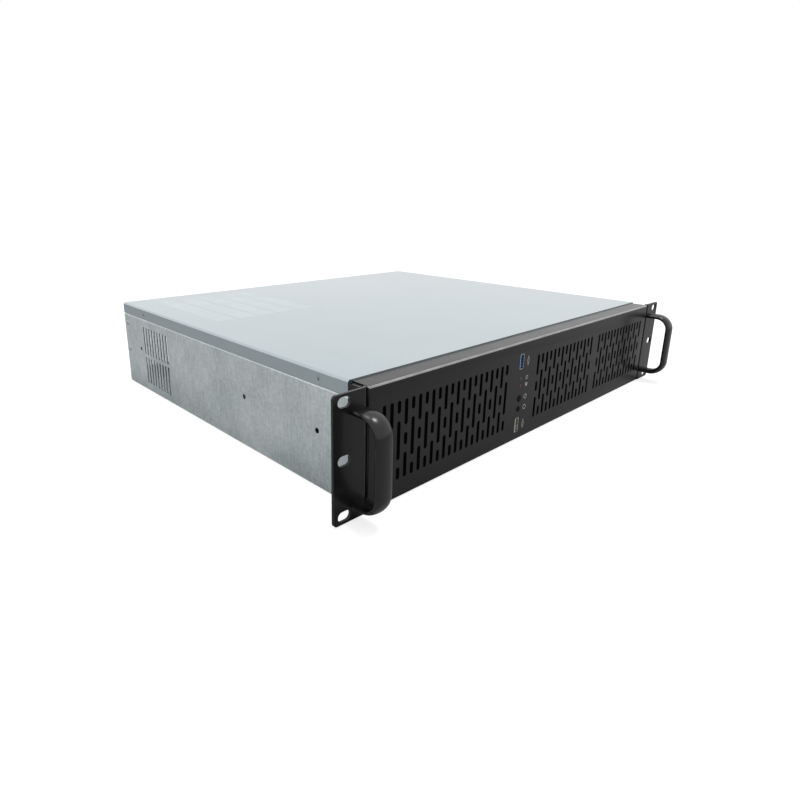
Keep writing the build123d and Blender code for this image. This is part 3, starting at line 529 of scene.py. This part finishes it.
# Sweeps each outline into a punch, copies the punches to their points and cuts them all out at once
def punchedSheet(f, sheet, trims, material):
    slotKinds = ("Short slot", "Long slot", "Tall slot")
    inputs = {
        "Sheet": ("NodeSocketObject", sheet),
        "Trims": ("NodeSocketObject", trims),
        "Slot width": ("NodeSocketFloat", f["slot"]),
        "Short slot": ("NodeSocketFloat", f["short"]),
        "Long slot": ("NodeSocketFloat", f["long"]),
        "Tall slot": ("NodeSocketFloat", f["tall"]),
        "Port width": ("NodeSocketFloat", f["port"][0]),
        "Port height": ("NodeSocketFloat", f["port"][1]),
        "Light hole": ("NodeSocketFloat", f["lightHole"]),
        "Power hole": ("NodeSocketFloat", f["buttons"][0][1]),
        "Reset hole": ("NodeSocketFloat", f["buttons"][1][1]),
        "Punch depth": ("NodeSocketFloat", 3 * f["sheet"]),
        "Finish": ("NodeSocketMaterial", material),
    }
    tree, source = newTree("punched_sheet", inputs)
    half = addNode(tree, "ShaderNodeMath", {"operation": "MULTIPLY"}, {1: 0.5}, {0: source["Punch depth"]})
    minus = addNode(tree, "ShaderNodeMath", {"operation": "MULTIPLY"}, {1: -1.0}, {0: half.outputs[0]})
    startPoint = addNode(tree, "ShaderNodeCombineXYZ", links={"Y": minus.outputs[0]})
    endPoint = addNode(tree, "ShaderNodeCombineXYZ", links={"Y": half.outputs[0]})
    stroke = addNode(
        tree, "GeometryNodeCurvePrimitiveLine",
        links={"Start": startPoint.outputs[0], "End": endPoint.outputs[0]},
    )
    path = addNode(tree, "GeometryNodeSetCurveNormal", {"mode": "Z_UP"}, links={"Curve": stroke.outputs[0]})
    # Just under half the width, so that no edge of a slot's end has zero length
    endRadius = addNode(
        tree, "ShaderNodeMath", {"operation": "MULTIPLY"}, {1: 0.499}, {0: source["Slot width"]},
    )
    profiles = []
    for label in slotKinds:
        oblong = addNode(
            tree, "GeometryNodeCurvePrimitiveQuadrilateral",
            links={"Width": source["Slot width"], "Height": source[label]},
        )
        profiles.append(addNode(
            tree, "GeometryNodeFilletCurve", {"mode": "POLY"}, {"Count": 6},
            {"Curve": oblong.outputs[0], "Radius": endRadius.outputs[0]},
        ).outputs[0])
    profiles.append(addNode(
        tree, "GeometryNodeCurvePrimitiveQuadrilateral",
        links={"Width": source["Port width"], "Height": source["Port height"]},
    ).outputs[0])
    for label in ("Light hole", "Power hole", "Reset hole"):
        profiles.append(addNode(
            tree, "GeometryNodeCurvePrimitiveCircle",
            values={"Resolution": 40}, links={"Radius": source[label]},
        ).outputs[0])
    kind = addNode(tree, "GeometryNodeInputNamedAttribute", {"data_type": "INT"}, {"Name": "kind"})
    punches = addNode(tree, "GeometryNodeJoinGeometry")
    for number, profile in enumerate(profiles):
        cutter = addNode(
            tree, "GeometryNodeCurveToMesh", values={"Fill Caps": True},
            links={"Curve": path.outputs[0], "Profile Curve": profile},
        )
        chosen = addNode(
            tree, "FunctionNodeCompare", {"data_type": "INT", "operation": "EQUAL"},
            {3: number}, {2: kind.outputs["Attribute"]},
        )
        copies = addNode(
            tree, "GeometryNodeInstanceOnPoints",
            links={
                "Points": source["Geometry"], "Selection": chosen.outputs[0], "Instance": cutter.outputs[0],
            },
        )
        tree.links.new(copies.outputs[0], punches.inputs[0])
    trimInfo = addNode(tree, "GeometryNodeObjectInfo", links={"Object": source["Trims"]})
    tree.links.new(trimInfo.outputs["Geometry"], punches.inputs[0])
    solidPunches = addNode(tree, "GeometryNodeRealizeInstances", links={"Geometry": punches.outputs[0]})
    sheetInfo = addNode(tree, "GeometryNodeObjectInfo", links={"Object": source["Sheet"]})
    cut = addNode(
        tree, "GeometryNodeMeshBoolean", {"operation": "DIFFERENCE", "solver": "EXACT"},
        {"Hole Tolerant": False},
        {"Mesh 1": sheetInfo.outputs["Geometry"], "Mesh 2": solidPunches.outputs[0]},
    )
    endTree(tree, cut.outputs["Mesh"], source["Finish"])
    return tree, inputs


def makeFascia(f):
    sheet = newObject("fascia_sheet", fasciaSheet(f))
    trims = newObject("fascia_trims", fasciaTrims(f))
    tree, inputs = punchedSheet(f, sheet, trims, powderCoat)
    piece = runTree("fascia", fasciaPoints(f), tree, inputs)
    built = bmesh.new()
    built.from_mesh(piece.data)
    # The cap runs on under the lid, and the flange below stays hidden
    length = 2 * (f["half"] - f["overlapInset"])
    rear = f["front"] + f["depth"]
    middle = (0, rear + f["overlap"] / 2 - f["overlapJoin"], f["top"] - f["sheet"] / 2)
    boxInto(built, middle, (length, f["overlap"], f["sheet"]))
    built.to_mesh(piece.data)
    built.free()
    smoothByAngle(piece.data)
    piece.data.materials.clear()
    piece.data.materials.append(powderCoat)
    piece.data.materials.append(foldHighlightCoat)
    # Faces on the fold that look upwards and forwards take the pale coat, a painted highlight line
    for face in piece.data.polygons:
        onPaintedHighlight = face.normal.z > f["highlightTilt"] and -face.normal.y > f["highlightTilt"]
        face.material_index = 1 if onPaintedHighlight else 0
    discard(sheet)
    discard(trims)
    attach(piece, case, "black_coat", "front_fascia")
    return piece


fasciaPiece = makeFascia(fascia)
print("fascia made:", len(fasciaPiece.data.polygons), "faces")

# Louvre hoods pressed up over the slots of the lid's vent, open to the rear
louvre = {
    "bars": 5, "barPitch": 22.9 * mm, "rows": 20, "rowPitch": 6.5 * mm,
    "middleX": -133.4 * mm, "fromRear": 90.0 * mm,
    "width": 18.6 * mm, "depth": 4.2 * mm, "rise": 0.45 * mm, "taper": 3.0 * mm, "sheet": 0.3 * mm,
}


# A ramp that rises to the rear between two sloping ends
def louvreHood(v):
    built = bmesh.new()
    half = v["width"] / 2
    inner = half - v["taper"]
    front, rear = -v["depth"] / 2, v["depth"] / 2
    foot = [
        built.verts.new((x, y, 0)) for x, y in ((-half, front), (half, front), (half, rear), (-half, rear))
    ]
    lip = [built.verts.new((x, rear, v["rise"])) for x in (inner, -inner)]
    built.faces.new((foot[0], foot[1], lip[0], lip[1]))
    built.faces.new((foot[1], foot[2], lip[0]))
    built.faces.new((foot[3], foot[0], lip[1]))
    bmesh.ops.recalc_face_normals(built, faces=built.faces)
    if sum((face.normal for face in built.faces), Vector()).z < 0:
        bmesh.ops.reverse_faces(built, faces=built.faces)
    return meshFromBmesh("louvre_hood", built)


def louvreField(v, hood, material):
    inputs = {
        "Hood": ("NodeSocketObject", hood),
        "Bars": ("NodeSocketInt", v["bars"]),
        "Bar pitch": ("NodeSocketFloat", v["barPitch"]),
        "Rows": ("NodeSocketInt", v["rows"]),
        "Row pitch": ("NodeSocketFloat", v["rowPitch"]),
        "Finish": ("NodeSocketMaterial", material),
    }
    tree, source = newTree("louvre_field", inputs)
    across = addNode(tree, "ShaderNodeCombineXYZ", links={"X": source["Bar pitch"]})
    along = addNode(tree, "ShaderNodeCombineXYZ", links={"Y": source["Row pitch"]})
    bars = addNode(
        tree, "GeometryNodeMeshLine", {"mode": "OFFSET"},
        links={"Count": source["Bars"], "Offset": across.outputs[0]},
    )
    rows = addNode(
        tree, "GeometryNodeMeshLine", {"mode": "OFFSET"},
        links={"Count": source["Rows"], "Offset": along.outputs[0]},
    )
    hoodInfo = addNode(tree, "GeometryNodeObjectInfo", links={"Object": source["Hood"]})
    column = addNode(
        tree, "GeometryNodeInstanceOnPoints",
        links={"Points": rows.outputs[0], "Instance": hoodInfo.outputs["Geometry"]},
    )
    field = addNode(
        tree, "GeometryNodeInstanceOnPoints",
        links={"Points": bars.outputs[0], "Instance": column.outputs[0]},
    )
    placed = addNode(
        tree, "GeometryNodeInstanceOnPoints",
        links={"Points": source["Geometry"], "Instance": field.outputs[0]},
    )
    endTree(tree, placed.outputs[0], source["Finish"])
    return tree, inputs


def makeLouvres(v):
    low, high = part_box("top_cover")
    hood = newObject("louvre_hood", louvreHood(v))
    # The hoods take the paler steel, a painted sheen
    tree, inputs = louvreField(v, hood, louvreSteelPaintedSheen)
    start = (
        v["middleX"] - v["barPitch"] * (v["bars"] - 1) / 2,
        high.y - v["fromRear"] - v["rowPitch"] * (v["rows"] - 1) / 2, high.z,
    )
    piece = runTree("lid_louvres", pointMesh("louvres", [start]), tree, inputs)
    built = bmesh.new()
    built.from_mesh(piece.data)
    bmesh.ops.solidify(built, geom=built.faces, thickness=v["sheet"])
    built.to_mesh(piece.data)
    built.free()
    discard(hood)
    attach(piece, case, "galvanised_lid")


makeLouvres(louvre)
print("louvres made")

# Handles: flat oval bar that follows a bow
low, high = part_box("right_handle")
handle = {
    "width": high.x - low.x, "front": high.y, "reach": high.y - low.y, "thickness": 5.6 * mm,
    "low": low.z, "high": high.z, "bend": 13.0 * mm, "x": (low.x + high.x) / 2,
}


def bentBar(h, material):
    inputs = {
        "Bar width": ("NodeSocketFloat", h["width"]),
        "Bar thickness": ("NodeSocketFloat", h["thickness"]),
        "Bend radius": ("NodeSocketFloat", h["bend"]),
        "Finish": ("NodeSocketMaterial", material),
    }
    tree, source = newTree("bent_bar", inputs)
    line = addNode(tree, "GeometryNodeMeshToCurve", links={"Mesh": source["Geometry"]})
    bow = addNode(
        tree, "GeometryNodeFilletCurve", {"mode": "POLY"}, {"Count": 24},
        {"Curve": line.outputs[0], "Radius": source["Bend radius"]},
    )
    aimed = addNode(
        tree, "GeometryNodeSetCurveNormal", {"mode": "FREE"}, {"Normal": (1.0, 0.0, 0.0)},
        {"Curve": bow.outputs[0]},
    )
    size = addNode(
        tree, "ShaderNodeCombineXYZ", values={"Z": 1.0},
        links={"X": source["Bar width"], "Y": source["Bar thickness"]},
    )
    disc = addNode(tree, "GeometryNodeCurvePrimitiveCircle", values={"Resolution": 48, "Radius": 0.5})
    section = addNode(
        tree, "GeometryNodeTransform", links={"Geometry": disc.outputs[0], "Scale": size.outputs[0]},
    )
    bar = addNode(
        tree, "GeometryNodeCurveToMesh", values={"Fill Caps": True},
        links={"Curve": aimed.outputs[0], "Profile Curve": section.outputs[0]},
    )
    endTree(tree, bar.outputs[0], source["Finish"])
    return tree, inputs


def makeHandle(h, side, name):
    tree, inputs = bentBar(h, handleCoat)
    half = h["thickness"] / 2
    y = h["front"] - h["reach"] + half
    line = bpy.data.meshes.new(name)
    x = side * h["x"]
    corners = [
        (x, h["front"], h["low"] + half), (x, y, h["low"] + half),
        (x, y, h["high"] - half), (x, h["front"], h["high"] - half),
    ]
    line.from_pydata(corners, [(0, 1), (1, 2), (2, 3)], [])
    piece = runTree(name, line, tree, inputs)
    built = bmesh.new()
    built.from_mesh(piece.data)
    bmesh.ops.recalc_face_normals(built, faces=built.faces)
    built.to_mesh(piece.data)
    built.free()
    smoothByAngle(piece.data, degrees=40.0)
    return piece


for side, name in ((-1, "left_handle"), (1, "right_handle")):
    attach(makeHandle(handle, side, name + "_bar"), case, "black_coat", name)
print("handles made")


# Fasteners: a turned template with a cross recess, copied to every place and turned at random
def lathe(name, profile, sides):
    built = bmesh.new()
    turns = [2 * math.pi * k / sides for k in range(sides)]
    rings = []
    for radius, height in profile:
        if radius == 0:
            rings.append([built.verts.new((0, 0, height * mm))])
        else:
            r = radius * mm
            rings.append([built.verts.new((r * math.cos(t), r * math.sin(t), height * mm)) for t in turns])
    for lower, upper in zip(rings, rings[1:]):
        for k in range(sides):
            after = (k + 1) % sides
            corners = [lower[k % len(lower)], lower[after % len(lower)]]
            corners += [upper[after % len(upper)], upper[k % len(upper)]]
            unique = list(dict.fromkeys(corners))
            if len(unique) > 2:
                built.faces.new(unique)
    bmesh.ops.recalc_face_normals(built, faces=built.faces)
    mesh = meshFromBmesh(name, built)
    smoothByAngle(mesh, degrees=35.0)
    return mesh


def fastenerSet(inputs):
    tree, source = newTree("fastener_set", inputs)
    template = addNode(tree, "GeometryNodeObjectInfo", links={"Object": source["Screw"]})
    size = addNode(
        tree, "ShaderNodeCombineXYZ",
        links={"X": source["Recess length"], "Y": source["Recess width"], "Z": source["Recess depth"]},
    )
    arm = addNode(tree, "GeometryNodeMeshCube", links={"Size": size.outputs[0]})
    across = addNode(
        tree, "GeometryNodeTransform",
        values={"Rotation": (0.0, 0.0, math.pi / 2)}, links={"Geometry": arm.outputs[0]},
    )
    cutters = addNode(tree, "GeometryNodeJoinGeometry")
    for part in (arm, across):
        lifted = addNode(tree, "GeometryNodeTransform", links={"Geometry": part.outputs[0]})
        top = addNode(tree, "ShaderNodeCombineXYZ", links={"Z": source["Head top"]})
        tree.links.new(top.outputs[0], lifted.inputs["Translation"])
        tree.links.new(lifted.outputs[0], cutters.inputs[0])
    recessed = addNode(
        tree, "GeometryNodeMeshBoolean", {"operation": "DIFFERENCE", "solver": "EXACT"},
        {"Self Intersection": True},
        {"Mesh 1": template.outputs["Geometry"], "Mesh 2": cutters.outputs[0]},
    )
    facing = addNode(
        tree, "GeometryNodeInputNamedAttribute", {"data_type": "FLOAT_VECTOR"}, {"Name": "facing"},
    )
    aim = addNode(
        tree, "FunctionNodeAlignRotationToVector", {"axis": "Z"},
        links={"Vector": facing.outputs["Attribute"]},
    )
    turn = addNode(
        tree, "FunctionNodeRandomValue", {"data_type": "FLOAT"}, {2: 0.0, 3: math.pi},
        {"Seed": source["Turn seed"]},
    )
    spin = addNode(
        tree, "FunctionNodeAxisAngleToRotation",
        values={"Axis": (0.0, 0.0, 1.0)}, links={"Angle": turn.outputs[1]},
    )
    both = addNode(
        tree, "FunctionNodeRotateRotation", {"rotation_space": "LOCAL"},
        links={"Rotation": aim.outputs[0], "Rotate By": spin.outputs[0]},
    )
    copies = addNode(
        tree, "GeometryNodeInstanceOnPoints",
        links={
            "Points": source["Geometry"], "Instance": recessed.outputs["Mesh"], "Rotation": both.outputs[0],
        },
    )
    endTree(tree, copies.outputs[0], source["Finish"])
    return tree


# Which way a head looks, from where its screw or rivet stands
def outward(middle):
    return (math.copysign(1, middle.x), 0, 0)


def rearward(middle):
    return (0, 1, 0)


def downward(middle):
    return (0, 0, -1)


# Turned outlines in mm, radius and height, with the seat of the head at zero
countersunk = (
    (0, 0.02), (2.78, 0.0), (2.8, -0.12), (1.48, -1.42), (1.48, -2.9), (1.2, -3.2), (0, -3.2),
)
hexShank = (
    (0, 1.3), (1.9, 1.3), (2.0, 2.0), (2.9, 2.0), (3.1, 1.75), (3.1, 0.0),
    (1.48, 0.0), (1.48, -2.6), (0, -2.6),
)
panHead = (
    (0, 1.98), (1.3, 1.85), (2.1, 1.45), (2.6, 0.8), (2.7, 0.1), (2.65, 0.0),
    (1.48, 0.0), (1.48, -6.0), (0, -6.0),
)
domedRivet = (
    (0, 0.25), (0.75, 0.25), (0.85, 0.62), (1.6, 0.55), (2.3, 0.3), (2.65, 0.0),
    (1.58, 0.0), (1.58, -1.9), (0, -1.9),
)
# Cross is the cutter's length, width and height, and top the height of its middle, so half of it cuts in.
# Seat is how far the CAD's head stands out. All are in mm
fasteners = {
    "lid_side_screws": {
        "outline": countersunk, "sides": 40, "cross": (3.0, 0.62, 1.6), "top": 0.05,
        "facing": outward, "seat": 0.0, "finish": zincPlate, "slot": "zinc", "seed": 3,
    },
    "fascia_screws": {
        "outline": countersunk, "sides": 40, "cross": (2.6, 0.6, 1.5), "top": 0.05,
        "facing": downward, "seat": 0.0, "finish": blackZinc, "slot": "black_zinc", "seed": 5,
    },
    "lid_rear_screws": {
        "outline": hexShank, "sides": 6, "cross": (2.4, 0.6, 1.6), "top": 1.3,
        "facing": rearward, "seat": 2.0, "finish": zincPlate, "slot": "zinc", "seed": 7,
    },
    "slot_cover_screws": {
        "outline": hexShank, "sides": 6, "cross": (2.4, 0.6, 1.6), "top": 1.3,
        "facing": rearward, "seat": 2.0, "finish": zincPlate, "slot": "zinc", "seed": 9,
    },
    "handle_screws": {
        "outline": panHead, "sides": 40, "cross": (2.6, 0.65, 2.2), "top": 1.98,
        "facing": rearward, "seat": 2.0, "finish": blackZinc, "slot": "black_zinc", "seed": 11,
    },
    "frame_rivets": {
        "outline": domedRivet, "sides": 32, "cross": (0.8, 0.2, 0.2), "top": 0.3,
        "facing": outward, "seat": 0.7, "finish": zincPlate, "slot": "zinc", "seed": 13,
    },
}


# The middle of each CAD fastener gives its place. Its parts are told apart by what hangs together
def islands(mesh):
    built = bmesh.new()
    built.from_mesh(mesh)
    bmesh.ops.remove_doubles(built, verts=built.verts, dist=1e-6)
    left, groups = set(built.verts), []
    while left:
        stack, group = [left.pop()], []
        while stack:
            vert = stack.pop()
            group.append(vert.co.copy())
            for edge in vert.link_edges:
                other = edge.other_vert(vert)
                if other in left:
                    left.remove(other)
                    stack.append(other)
        groups.append(group)
    built.free()
    return groups


# Where each head sits and which way it looks, in an order that doesn't hang on the mesh's
def fastenerPlaces(node, facing, seat):
    found = []
    for group in islands(nodes[node].data):
        low = Vector([min(c[i] for c in group) for i in range(3)])
        high = Vector([max(c[i] for c in group) for i in range(3)])
        middle = (low + high) / 2
        way = Vector(facing(middle))
        axis = max(range(3), key=lambda i: abs(way[i]))
        middle[axis] = (high if way[axis] > 0 else low)[axis] - way[axis] * seat * mm
        found.append((tuple(middle), tuple(way)))
    found.sort(key=lambda pair: tuple(round(v, 5) for v in pair[0]))
    return [middle for middle, _ in found], [way for _, way in found]


def makeFasteners(node, f):
    template = newObject(node + "_template", lathe(node + "_template", f["outline"], f["sides"]))
    armLength, armWidth, armDepth = f["cross"]
    inputs = {
        "Screw": ("NodeSocketObject", template),
        "Recess length": ("NodeSocketFloat", armLength * mm),
        "Recess width": ("NodeSocketFloat", armWidth * mm),
        "Recess depth": ("NodeSocketFloat", armDepth * mm),
        "Head top": ("NodeSocketFloat", f["top"] * mm),
        "Turn seed": ("NodeSocketInt", f["seed"]),
        "Finish": ("NodeSocketMaterial", f["finish"]),
    }
    places, facings = fastenerPlaces(node, f["facing"], f["seat"])
    piece = runTree(node + "_turned", pointMesh(node, places, facing=facings), fastenerSet(inputs), inputs)
    smoothByAngle(piece.data, degrees=35.0)
    discard(template)
    attach(piece, case, f["slot"], node)


for node, fastener in fasteners.items():
    makeFasteners(node, fastener)
print("fasteners made")

# Ports: gilded contacts on each tongue. Size is how far one stands out, its length and its width
contacts = {
    "count": 4, "pitch": 2.4 * mm, "size": (0.12 * mm, 7.0 * mm, 0.9 * mm),
    "fromMiddle": 0.45 * mm, "fromFront": 0.3 * mm,
}


def contactRow(c, material):
    inputs = {
        "Count": ("NodeSocketInt", c["count"]),
        "Pitch": ("NodeSocketFloat", c["pitch"]),
        "Size": ("NodeSocketVector", c["size"]),
        "Finish": ("NodeSocketMaterial", material),
    }
    tree, source = newTree("contact_row", inputs)
    step = addNode(tree, "ShaderNodeCombineXYZ", links={"Z": source["Pitch"]})
    row = addNode(
        tree, "GeometryNodeMeshLine", {"mode": "OFFSET"},
        links={"Count": source["Count"], "Offset": step.outputs[0]},
    )
    blade = addNode(tree, "GeometryNodeMeshCube", links={"Size": source["Size"]})
    copies = addNode(
        tree, "GeometryNodeInstanceOnPoints", links={"Points": row.outputs[0], "Instance": blade.outputs[0]},
    )
    start = addNode(
        tree, "GeometryNodeInstanceOnPoints",
        links={"Points": source["Geometry"], "Instance": copies.outputs[0]},
    )
    endTree(tree, start.outputs[0], source["Finish"])
    return tree, inputs


for port in ("usb3", "usb2"):
    low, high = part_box(port + "_tongue")
    thick, deep, _ = contacts["size"]
    start = (
        (low.x + high.x) / 2 + contacts["fromMiddle"] + thick / 2,
        low.y + contacts["fromFront"] + deep / 2,
        (low.z + high.z) / 2 - contacts["pitch"] * (contacts["count"] - 1) / 2,
    )
    tree, inputs = contactRow(contacts, turnedBrass)
    piece = runTree(port + "_contacts", pointMesh(port, [start]), tree, inputs)
    attach(piece, case, "brass")
print("contacts made")

# Printed signs beside the controls: plain shapes that any maker uses. Sizes and heights are in mm
signs = {
    "x": -28.2, "lift": 0.03, "line": 0.5, "steps": 28,
    "plugHeights": (70.0, 13.6), "squareHeight": 54.6, "discHeight": 48.6,
    "powerHeight": 37.8, "resetHeight": 28.2,
    # half width, half height, and how far the shape's middle stands above the sign's
    "plugBody": (1.35, 2.1, -1.1), "plugTip": (0.9, 1.2, 2.1), "plugLead": (0.3, 0.9, -4.1),
    "square": (1.6, 1.6, 0.0), "stem": (0.3, 1.05, 1.45),
    "tipLine": 0.45, "disc": 1.6, "discLine": 1.0, "ring": 2.2, "gapDegrees": 35,
}


def makeSigns(s, front):
    built = bmesh.new()

    def patch(height, points):
        built.faces.new([
            built.verts.new(((s["x"] + x) * mm, front - s["lift"] * mm, (height + z) * mm)) for x, z in points
        ])

    def band(height, x0, z0, x1, z1):
        patch(height, ((x0, z0), (x1, z0), (x1, z1), (x0, z1)))

    def block(height, shape):
        halfX, halfZ, lift = shape
        band(height, -halfX, lift - halfZ, halfX, lift + halfZ)

    def outline(height, shape, line):
        halfX, halfZ, lift = shape
        bottom, top = lift - halfZ, lift + halfZ
        band(height, -halfX, bottom, halfX, bottom + line)
        band(height, -halfX, top - line, halfX, top)
        band(height, -halfX, bottom, -halfX + line, top)
        band(height, halfX - line, bottom, halfX, top)

    def ring(height, radius, line, first, last):
        for k in range(s["steps"]):
            a, b = (math.radians(first + (last - first) * j / s["steps"]) for j in (k, k + 1))
            corners = [(radius, a), (radius, b), (radius - line, b), (radius - line, a)]
            patch(height, [(r * math.sin(t), r * math.cos(t)) for r, t in corners])

    for height in s["plugHeights"]:
        outline(height, s["plugBody"], s["line"])
        outline(height, s["plugTip"], s["tipLine"])
        block(height, s["plugLead"])
    outline(s["squareHeight"], s["square"], s["line"])
    ring(s["discHeight"], s["disc"], s["discLine"], 0, 360)
    ring(s["powerHeight"], s["ring"], s["line"], s["gapDegrees"], 360 - s["gapDegrees"])
    block(s["powerHeight"], s["stem"])
    ring(s["resetHeight"], s["ring"], s["line"], 0, 360)
    built.normal_update()
    for face in built.faces:
        if face.normal.y > 0:
            face.normal_flip()
    piece = newObject("control_signs", meshFromBmesh("control_signs", built))
    piece.data.materials.append(whitePrint)
    attach(piece, case, "white_plastic")


makeSigns(signs, fascia["front"])
print("signs made")

# Floor and daylight: white paper, two soft boxes and a white surround
studio = {
    "floorHalf": 6.0, "floorGap": 0.2 * mm, "floorColour": "#c2c2c2", "floorLift": 0.75,
    "surround": 0.5, "sky": 1.0,  # the world as a light, and as the camera and mirrors see it
    "boxes": (
        {"place": (-0.35, 0.6, 2.5), "size": 1.1, "watts": 11.0, "target": (0.0, 0.0, 0.05)},
        {"place": (0.35, -0.5, 1.9), "size": 0.5, "watts": 12.0, "target": (-0.1, -0.1, 0.05)},
    ),
}


# One for a ray from the camera, off a mirror or through glass, so that metal shows the white too
def seenRays(tree):
    path = addNode(tree, "ShaderNodeLightPath")
    first = addNode(
        tree, "ShaderNodeMath", {"operation": "MAXIMUM"},
        links={0: path.outputs["Is Camera Ray"], 1: path.outputs["Is Glossy Ray"]},
    )
    return addNode(
        tree, "ShaderNodeMath", {"operation": "MAXIMUM"},
        links={0: first.outputs[0], 1: path.outputs["Is Transmission Ray"]},
    ).outputs[0]


# Matt paper takes the case's shadow, and a glow that only the camera sees lifts it to white
def makeFloor(s):
    half, under = s["floorHalf"], -s["floorGap"]
    mesh = bpy.data.meshes.new("floor")
    corners = [(x * half, y * half, under) for x, y in ((-1, -1), (1, -1), (1, 1), (-1, 1))]
    mesh.from_pydata(corners, [], [(0, 1, 2, 3)])
    floor = newObject("floor", mesh)
    material = bpy.data.materials.new("white_paper")
    material.use_nodes = True
    tree = material.node_tree
    tree.nodes.remove(tree.nodes["Principled BSDF"])
    matte = addNode(tree, "ShaderNodeBsdfDiffuse", values={"Color": toLinear(s["floorColour"])})
    seen = addNode(tree, "ShaderNodeLightPath").outputs["Is Camera Ray"]
    lift = addNode(tree, "ShaderNodeMath", {"operation": "MULTIPLY"}, {1: s["floorLift"]}, {0: seen})
    glow = addNode(tree, "ShaderNodeEmission", links={"Strength": lift.outputs[0]})
    both = addNode(tree, "ShaderNodeAddShader", links={0: matte.outputs[0], 1: glow.outputs[0]})
    tree.links.new(both.outputs[0], tree.nodes["Material Output"].inputs["Surface"])
    mesh.materials.append(material)


def makeWorld(s):
    world = bpy.data.worlds.new("surround")
    bpy.context.scene.world = world
    world.use_nodes = True
    tree = world.node_tree
    back = tree.nodes["Background"]
    back.inputs["Color"].default_value = (1.0, 1.0, 1.0, 1.0)
    strength = addNode(
        tree, "ShaderNodeMapRange",
        values={"To Min": s["surround"], "To Max": s["sky"]}, links={"Value": seenRays(tree)},
    )
    tree.links.new(strength.outputs["Result"], back.inputs["Strength"])


def makeLamps(s):
    for number, box in enumerate(s["boxes"]):
        data = bpy.data.lights.new(f"soft_box_{number}", "AREA")
        data.shape = "SQUARE"
        data.size = box["size"]
        data.energy = box["watts"]
        lamp = newObject(data.name, data)
        lamp.location = box["place"]
        aim = Vector(box["target"]) - Vector(box["place"])
        lamp.rotation_euler = aim.to_track_quat("-Z", "Y").to_euler()


makeFloor(studio)
makeWorld(studio)
makeLamps(studio)
bpy.context.scene.view_settings.view_transform = "Standard"
print("studio made")
